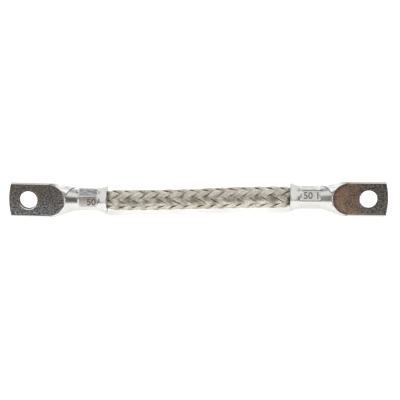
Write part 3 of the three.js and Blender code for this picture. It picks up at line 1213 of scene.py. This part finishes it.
@dataclass(frozen=True)
class TinnedWire:
    """Finish of the braid: fine tinned copper wires, some of them worn pinkish, with painted shade in the
    grooves and where strands dip, less of it near the top.
    """

    pale: Colour = (1.0, 0.97, 0.87)
    warm: Colour = (0.52, 0.49, 0.40)
    worn: Colour = (0.80, 0.62, 0.52)
    # Colour of the painted shade in the grooves and where the strands dip under.
    painted_shade_tone: Colour = (0.17, 0.155, 0.11)
    blotch_noise: Span = (0.32, 0.68)
    fine_noise: Span = (0.42, 0.62)
    tone_amount: float = 0.35
    blotch_amount: float = 0.35
    fine_amount: float = 0.5
    worn_tones: Span = (0.7, 0.9)
    worn_amount: float = 0.8
    # Painted shade where the strands dip under the others, spread by noise and blotches.
    dips: Span = (0.3, 0.62)
    dip_spread: float = 0.3
    dip_least: float = 0.05
    dip_amount: float = 0.65
    # Painted light on the braid's top: above these heights most of the painted shade is taken away.
    top_heights: Span = (0.0125, 0.0148)
    painted_top_light: float = 0.75
    # Painted shade in the grooves between wires.
    grooves: Span = (0.3, 1.0)
    groove_amount: float = 0.6
    roughness: float = 0.4
    fine_roughness: float = 0.1
    tone_roughness: float = 0.08
    relief_height: float = 0.01
    relief_strength: float = 0.3

    def material(self, name: str) -> bpy.types.Material:
        """Builds the material.

        Args:
            name: Name of the material.

        Returns:
            The material, which reads the attribute NOTE.
        """
        graph = Graph(bpy.data.materials.new(name))
        note = graph.attribute(NOTE, "Vector")
        tone, groove, dip = (graph.axis(note, k) for k in range(3))
        place = graph.object_place()
        blotch = graph.grain(place, 190.0, 3.0).step(*self.blotch_noise)
        fine = graph.grain(place, 1300.0, 3.0, 0.7)
        uneven = tone * self.tone_amount + blotch * self.blotch_amount
        uneven = uneven + fine.step(*self.fine_noise) * self.fine_amount
        colour = graph.blend(uneven, self.pale, self.warm)
        worn = tone.step(*self.worn_tones) * blotch * self.worn_amount
        colour = graph.blend(worn, colour, self.worn)
        # Painted light: less painted shade on the braid's top.
        painted_shade_below_top = 1 - graph.axis(place, 2).step(*self.top_heights) * self.painted_top_light
        # Painted shade in the grooves between wires.
        groove_shade = groove.step(*self.grooves) * painted_shade_below_top * self.groove_amount
        colour = graph.blend(groove_shade, colour, self.painted_shade_tone)
        # Painted shade where the strands dip under.
        shade = (dip + (fine - 0.5) * self.dip_spread).step(*self.dips)
        shade = shade * (self.dip_least + blotch * self.dip_amount) * painted_shade_below_top
        colour = graph.blend(shade, colour, self.painted_shade_tone)
        rough = self.roughness + fine * self.fine_roughness + tone * self.tone_roughness
        relief = graph.bump(fine, self.relief_height * MM, self.relief_strength)
        graph.surface(Base_Color=colour, Metallic=1.0, Roughness=rough, Normal=relief)
        return graph.owner


@dataclass(frozen=True)
class Card:
    """A plain card that the metal mirrors: place and size in metres, tilt in degrees, tone."""

    name: str
    centre: Triple
    size: Span
    tilt: float
    tone: Colour


@dataclass
class Studio:
    """Plain pale floor, a soft lamp, cards to mirror, the world and the camera."""

    floor_size: float = 3.0
    floor_colour: Colour = (0.86, 0.86, 0.86)
    floor_glow: float = 0.57
    cards: tuple[Card, ...] = (
        Card("left_front_card", (-0.29, -0.9, 0.35), (0.32, 0.7), 90.0, (0.02, 0.01, 0.008)),
        Card("middle_front_card", (0.0, -0.9, 0.35), (0.26, 0.7), 90.0, (0.45, 0.43, 0.39)),
        Card("right_front_card", (0.29, -0.9, 0.35), (0.32, 0.7), 90.0, (0.21, 0.21, 0.215)),
        Card("back_card", (-0.04, 0.9, 0.36), (0.14, 0.7), 90.0, (3.0, 2.9, 2.75)),
        Card("low_card", (0.0, -0.4725, 0.0015), (0.6, 0.855), 0.0, (0.20, 0.17, 0.155)),
        Card("high_card", (0.0, 0.15, 1.0), (0.9, 0.66), 0.0, (0.48, 0.50, 0.54)),
    )
    lamp_place: Triple = (0.0, -0.1, 1.2)
    lamp_size: float = 1.2
    lamp_power: float = 3.0
    sky_seen: Colour = (0.97, 0.97, 0.97)
    sky_light: Colour = (0.7, 0.7, 0.7)
    camera_distance: float = 0.783
    camera_height_angle: float = 26.0
    camera_roll: float = -0.2
    camera_target: Triple = (0.0008, 0.0, 0.0075)
    frame_width: float = 0.2369
    sensor: float = 36.0
    clip: Span = (0.05, 20.0)

    def floor(self) -> bpy.types.Object:
        """The floor, white to look at, which keeps the shadow.

        Returns:
            The floor.
        """
        mesh = bmesh.new()
        bmesh.ops.create_grid(mesh, x_segments=1, y_segments=1, size=self.floor_size)
        made = mesh_object("floor", mesh, PLAIN_SHEET)
        material = bpy.data.materials.new("pale_floor")
        graph = Graph(material)
        glow = graph.blend(graph.seen(), (0.0, 0.0, 0.0), (self.floor_glow,) * 3)
        graph.surface(Base_Color=graph.rgba(self.floor_colour), Roughness=1.0, Specular_IOR_Level=0.0,
                      Emission_Color=glow, Emission_Strength=1.0)
        made.data.materials.append(material)
        return made

    def hang(self, card: Card) -> bpy.types.Object:
        """A plain card round the strap, which only its mirror-like metal sees.

        Args:
            card: Place, size and tone of the card.

        Returns:
            The card.
        """
        mesh = bmesh.new()
        bmesh.ops.create_grid(mesh, x_segments=1, y_segments=1, size=0.5)
        grown = Matrix.Diagonal((*card.size, 1, 1))
        turned = Matrix.Rotation(math.radians(card.tilt), 4, "X")
        placed = Matrix.Translation(card.centre) @ turned @ grown
        bmesh.ops.transform(mesh, matrix=placed, verts=mesh.verts[:])
        made = mesh_object(card.name, mesh, PLAIN_SHEET)
        graph = Graph(bpy.data.materials.new(card.name + "_paper"))
        graph.surface(Base_Color=(0, 0, 0, 1), Roughness=1.0, Specular_IOR_Level=0.0,
                      Emission_Color=graph.rgba(card.tone), Emission_Strength=1.0)
        made.data.materials.append(graph.owner)
        made.visible_camera = made.visible_diffuse = made.visible_shadow = False
        return made

    def lamp(self) -> bpy.types.Object:
        """A soft square lamp that looks at the middle of the strap.

        Returns:
            The lamp.
        """
        light = bpy.data.lights.new("top_lamp", "AREA")
        light.shape, light.size, light.energy = "SQUARE", self.lamp_size, self.lamp_power
        made = bpy.data.objects.new("top_lamp", light)
        made.location = self.lamp_place
        made.rotation_euler = (-Vector(self.lamp_place)).to_track_quat("-Z", "Y").to_euler()
        made.visible_glossy = False
        bpy.context.scene.collection.objects.link(made)
        return made

    def camera(self) -> bpy.types.Object:
        """The camera, at the place from which the photograph was taken.

        Returns:
            The camera.
        """
        data = bpy.data.cameras.new("camera")
        data.sensor_width = self.sensor
        data.lens = self.sensor * self.camera_distance / self.frame_width
        data.clip_start, data.clip_end = self.clip
        made = bpy.data.objects.new("camera", data)
        rise = math.radians(self.camera_height_angle)
        back = Vector((0, -math.cos(rise), math.sin(rise)))
        target = Vector(self.camera_target)
        roll = Matrix.Rotation(math.radians(self.camera_roll), 3, back)
        turned = roll @ (-back).to_track_quat("-Z", "Y").to_matrix()
        made.matrix_world = Matrix.Translation(target + back * self.camera_distance) @ turned.to_4x4()
        bpy.context.scene.collection.objects.link(made)
        bpy.context.scene.camera = made
        return made

    def world(self) -> None:
        """Sets up a world that is white to look at and lights evenly from all round."""
        made = bpy.data.worlds.new("studio_room")
        Graph(made).sky(self.sky_seen, self.sky_light)
        bpy.context.scene.world = made

    def build(self) -> None:
        """Sets up the floor, the cards, the lamp, the world and the camera."""
        bpy.context.scene.view_settings.view_transform = "Standard"
        self.floor()
        for card in self.cards:
            self.hang(card)
        self.lamp()
        self.world()
        self.camera()


@dataclass
class Strap:
    """The whole strap: two lugs with their crimp marks, and the braid between them.

    A pair of values is for the left lug and the right one.
    """

    sizes: LugSizes = field(default_factory=LugSizes)
    hole_spacing: float = 200.0
    crimp_starts: Span = (5.0, 5.8)
    crimp_turns: Span = (5.0, 16.0)
    twists: Span = (4.0, 0.0)
    yaws: Span = (-1.7, -2.0)
    sidesteps: Span = (-1.6, 1.1)
    marks: tuple[str, str] = ("50", "50 1")
    mark_shifts: Span = (-1.9, 0.8)
    finishes: tuple[TinnedTube, TinnedTube] = (
        TinnedTube(),
        TinnedTube(
            upper_side=1.0,
            fold=(0.68, 0.67, 0.64),
            # Strength of the painted dark reflection along the die edge.
            edge_amount=0.7,
            streak_amount=0.3,
            # This palm's tones are partly its own mottle and partly painted dark reflection.
            palm_dark=(0.08, 0.069, 0.064),
            palm_pale=(0.40, 0.36, 0.325),
            stain=(0.66, 0.42, 0.28),
            stain_amount=0.9,
            stain_slope=0.03,
            stain_rise=0.0,
            # Strength of the painted dark reflection round the heel.
            rim_amount=0.75,
            # Strength of the painted highlight along the crease.
            crease_amount=0.45,
            # No painted highlight below this bolt hole.
            painted_hole_highlight_amount=0.0,
        ),
    )

    @property
    def free_braid(self) -> float:
        """Distance between the two mouths."""
        return self.hole_spacing - 2 * self.sizes.hole_from_mouth

    def build(self) -> None:
        """Builds every piece, joins it to the frame and reports it."""
        poses, starts = {}, {}
        for k, side in enumerate(Side):
            pose = LugPose.at_rest(side, self.sizes, self.free_braid, self.twists[k], self.yaws[k],
                                   self.sidesteps[k])
            pose = pose.moved(SHIFT_TO_FRAME)
            shape = LugShape(self.sizes, self.crimp_starts[k], self.crimp_turns[k])
            name = side.name.lower()
            material = self.finishes[k].material(name + "_tin_plate")
            lug = shape.build(name + "_tube_lug", pose)
            self.join(lug, material, name + "_lug_tin", name + "_lug")
            number = CrimpMark(pose, shape, self.marks[k], shift=self.mark_shifts[k])
            mark = number.build(name + "_crimp_mark")
            self.join(mark, DarkMark().material(name + "_dark_mark"), name + "_lug_tin")
            poses[side], starts[side] = pose, self.crimp_starts[k]
        braid = Braid(poses[Side.LEFT], poses[Side.RIGHT], self.sizes, starts, self.free_braid)
        wire = TinnedWire().material("tinned_wire")
        dice = random.Random(SEED)
        for lay in Lay:
            for carrier in range(braid.carriers_each_way):
                name = f"{lay.name.lower()}_strand_{carrier + 1}"
                ribbon = braid.strand(name + "_wires", lay, carrier, dice)
                self.join(ribbon, wire, "braid_wire", name)

    def join(self, piece: bpy.types.Object, material: bpy.types.Material, slot: str, *nodes: str) -> None:
        """Dresses a piece and ties it to the frame.

        Args:
            piece: The piece.
            material: Its finish.
            slot: Material slot of the record; not used.
            nodes: The CAD nodes that it stands for.
        """
        piece.data.materials.clear()
        piece.data.materials.append(material)
        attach(piece, "root")
        if nodes:
            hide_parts(*nodes)
        LOG.info("%s: %d faces", piece.name, len(piece.data.polygons))


def main() -> None:
    """Builds the strap and the studio."""
    logging.basicConfig(level=logging.INFO, format="%(name)s %(message)s")
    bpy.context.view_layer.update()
    Strap().build()
    Studio().build()


if __name__ == "__main__":
    main()
